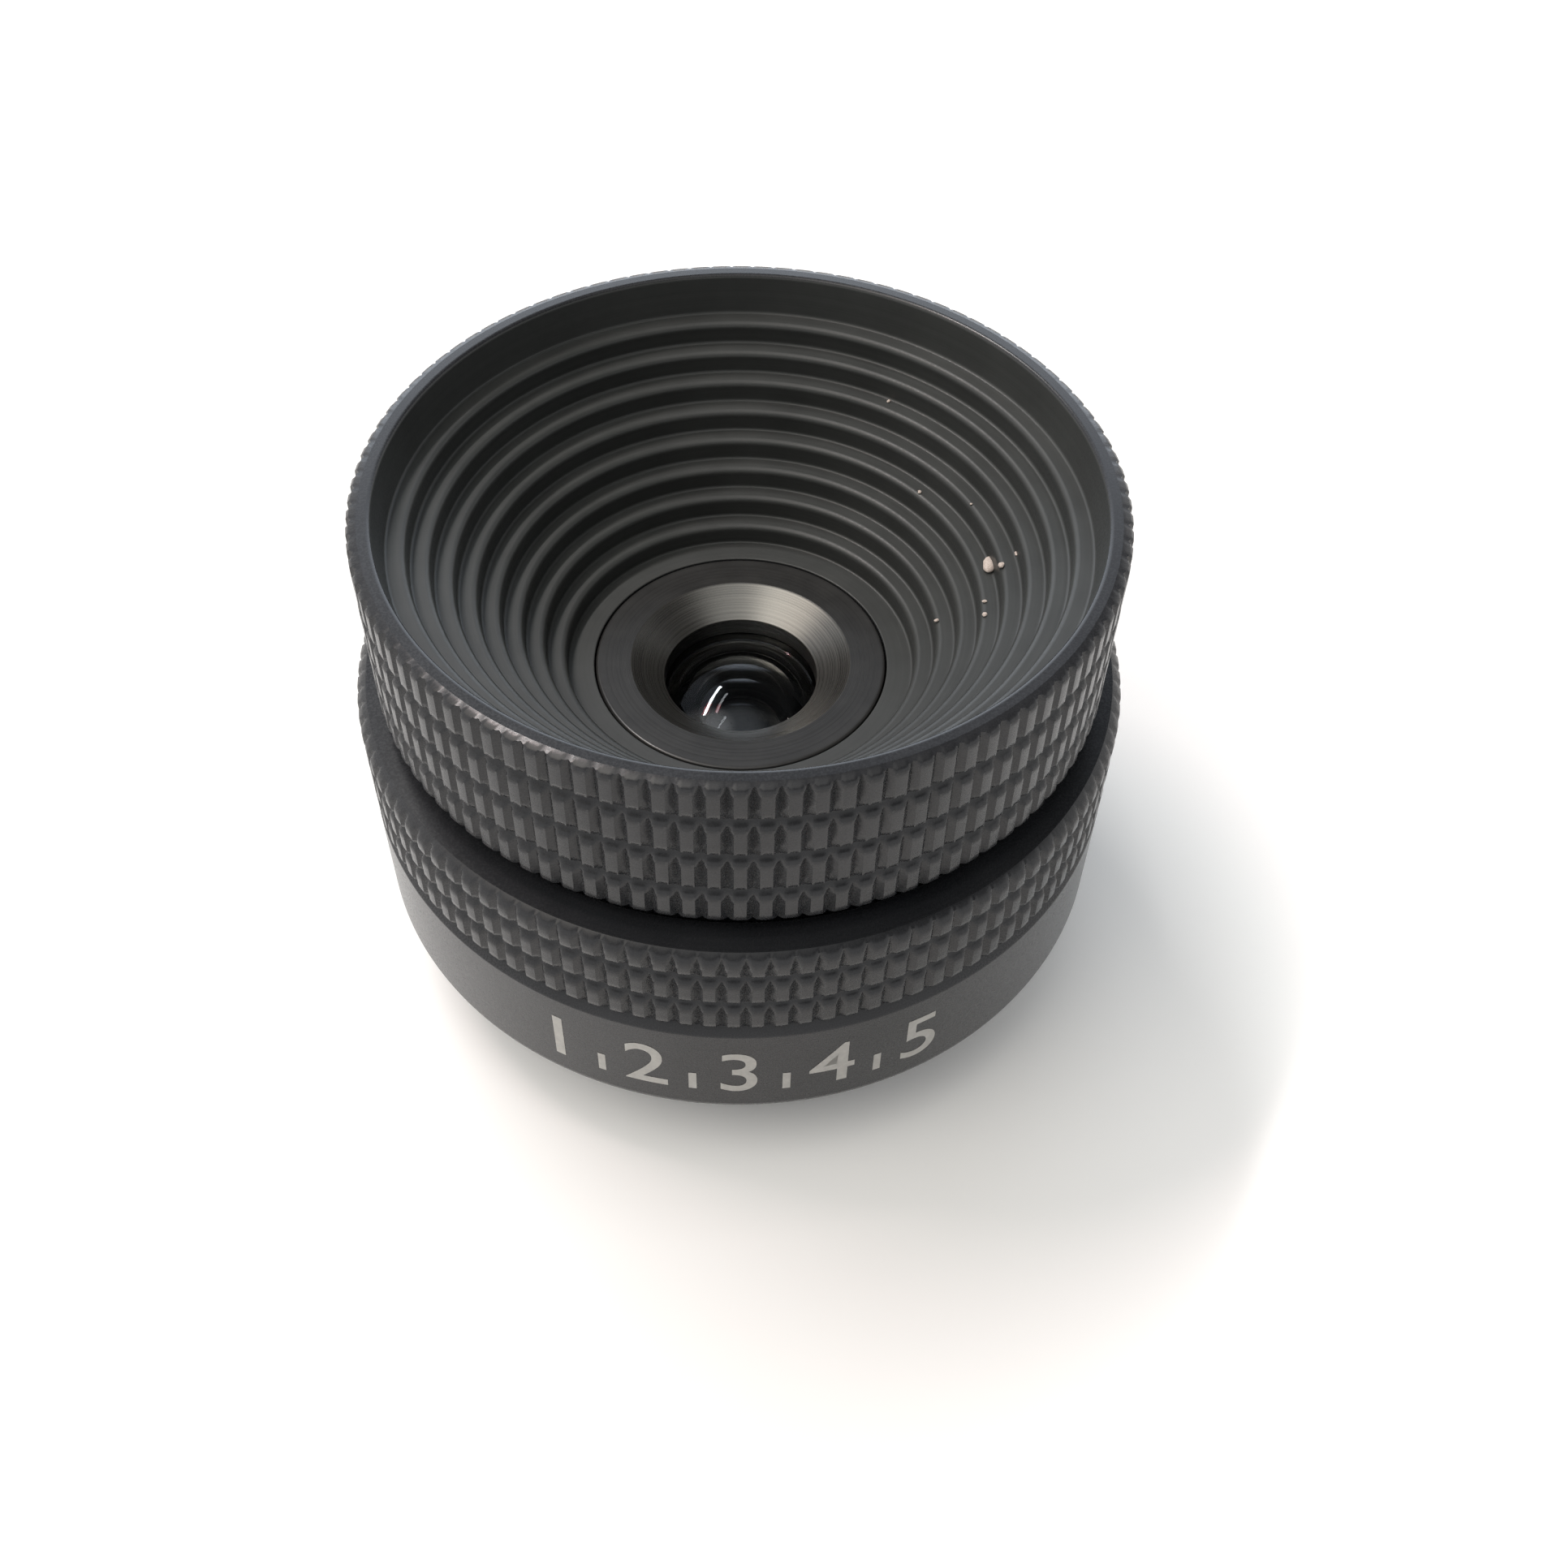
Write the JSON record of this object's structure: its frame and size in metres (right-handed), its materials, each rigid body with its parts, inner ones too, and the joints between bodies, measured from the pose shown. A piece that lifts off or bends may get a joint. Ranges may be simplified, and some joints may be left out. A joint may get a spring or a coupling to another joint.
{
  "type": "cctv lens",
  "caption": "Fixed-focal security camera lens: knurled focus ring with a stepped conical hood around a small front glass, knurled rear barrel with a number band, CS mount thread",
  "frame": {"origin": "centre of the rear end of the mount thread, on the optical axis; the lens stands on that end", "axes": "+Z is the optical axis and points out of the front of the lens; -Y is the side with the printed numbers; +X is to the right when looking along +Y"},
  "size_m": [0.03, 0.03, 0.0219],
  "materials": {
    "black_anodised": "satin black anodised turned aluminium",
    "cell_black": "black anodised aluminium, turned face a little brighter",
    "coated_glass": "polished, anti-reflection coated",
    "spacer_black": "matt black anodised",
    "blackened_brass": "chemically blackened",
    "bright_steel": "plain steel",
    "black_steel": "black oxide steel",
    "white_plastic": "plain low-friction sheet",
    "black_rubber": "smooth"
  },
  "bodies": {
    "mount": {"rear_barrel": "black_anodised", "limit_screw": "black_steel", "guide_key": "bright_steel", "key_screw": "bright_steel"},
    "optics": {"lens_cell": "cell_black", "front_lens": "coated_glass", "front_spacer": "spacer_black", "second_lens": "coated_glass", "aperture_stop": "spacer_black", "stop_spacer": "spacer_black", "doublet_flint": "coated_glass", "doublet_crown": "coated_glass", "rear_spacer": "spacer_black", "rear_lens": "coated_glass", "rear_retaining_ring": "blackened_brass"},
    "focus_ring": {"front_barrel": "black_anodised", "cell_shim": "bright_steel", "friction_washer": "white_plastic", "cell_retaining_ring": "blackened_brass", "drag_ring": "black_rubber"}
  },
  "joints": [
    {"name": "focus_travel", "type": "slide", "parent": "mount", "child": "optics", "axis": [0, 0, 1], "range_m": [-0.00025, 0.00025]},
    {"name": "focus_turn", "type": "hinge", "parent": "optics", "child": "focus_ring", "pos_m": [0, 0, 0.0105], "axis": [0, 0, 1], "range_deg": [-120, 120]}
  ],
  "couplings": [
    {"joint": "focus_turn", "follows": "focus_travel", "rad_per_m": 8377.6}
  ]
}
